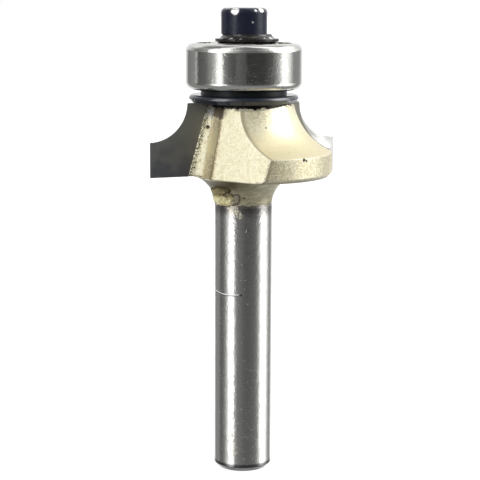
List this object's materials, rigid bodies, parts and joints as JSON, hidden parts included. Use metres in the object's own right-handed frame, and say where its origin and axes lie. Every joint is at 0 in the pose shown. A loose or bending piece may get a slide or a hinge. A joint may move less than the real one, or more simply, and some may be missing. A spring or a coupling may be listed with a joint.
{
  "type": "router bit",
  "caption": "Two-flute carbide-tipped roundover router bit with a quarter-inch shank and a guide bearing held by a cap screw.",
  "frame": {"origin": "centre of the flat end face of the shank, at the bottom of the part", "axes": "+Z along the bit's axis from the shank end towards the guide bearing; +X radial through the cutting edge of carbide_tip_1; +Y is the way that tip faces"},
  "size_m": [0.0216, 0.0194, 0.0511],
  "materials": {
    "painted_steel": "champagne lacquer on the head, bare ground steel on the shank",
    "carbide": "fine ground matte grey",
    "black_ring": "smooth satin black",
    "black_oxide": "black oxide, lightly oiled",
    "bearing_steel": "fine turned and polished bearing steel",
    "shield_steel": "pressed bright steel",
    "spring_steel": "drawn wire",
    "cage_steel": "pressed strip",
    "ball_steel": "polished"
  },
  "bodies": {
    "tool": {"body": "painted_steel", "carbide_tip_1": "carbide", "carbide_tip_2": "carbide", "dust_ring": "black_ring", "spacer": "black_oxide", "inner_ring": "bearing_steel", "dished_washer": "black_oxide", "cap_screw": "black_oxide"},
    "outer_race": {"outer_ring": "bearing_steel", "shield_upper": "shield_steel", "shield_lower": "shield_steel", "snap_ring_upper": "spring_steel", "snap_ring_lower": "spring_steel"},
    "cage": {"cage_upper": "cage_steel", "cage_lower": "cage_steel", "ball_1": "ball_steel", "ball_2": "ball_steel", "ball_3": "ball_steel", "ball_4": "ball_steel", "ball_5": "ball_steel", "ball_6": "ball_steel", "ball_7": "ball_steel"}
  },
  "joints": [
    {"name": "bearing_spin", "type": "hinge", "parent": "tool", "child": "outer_race", "pos_m": [0, 0, 0.0449], "axis": [0, 0, 1], "continuous": true},
    {"name": "cage_spin", "type": "hinge", "parent": "tool", "child": "cage", "pos_m": [0, 0, 0.0449], "axis": [0, 0, 1], "continuous": true}
  ],
  "couplings": [
    {"joint": "cage_spin", "follows": "bearing_spin", "ratio": 0.6363}
  ]
}
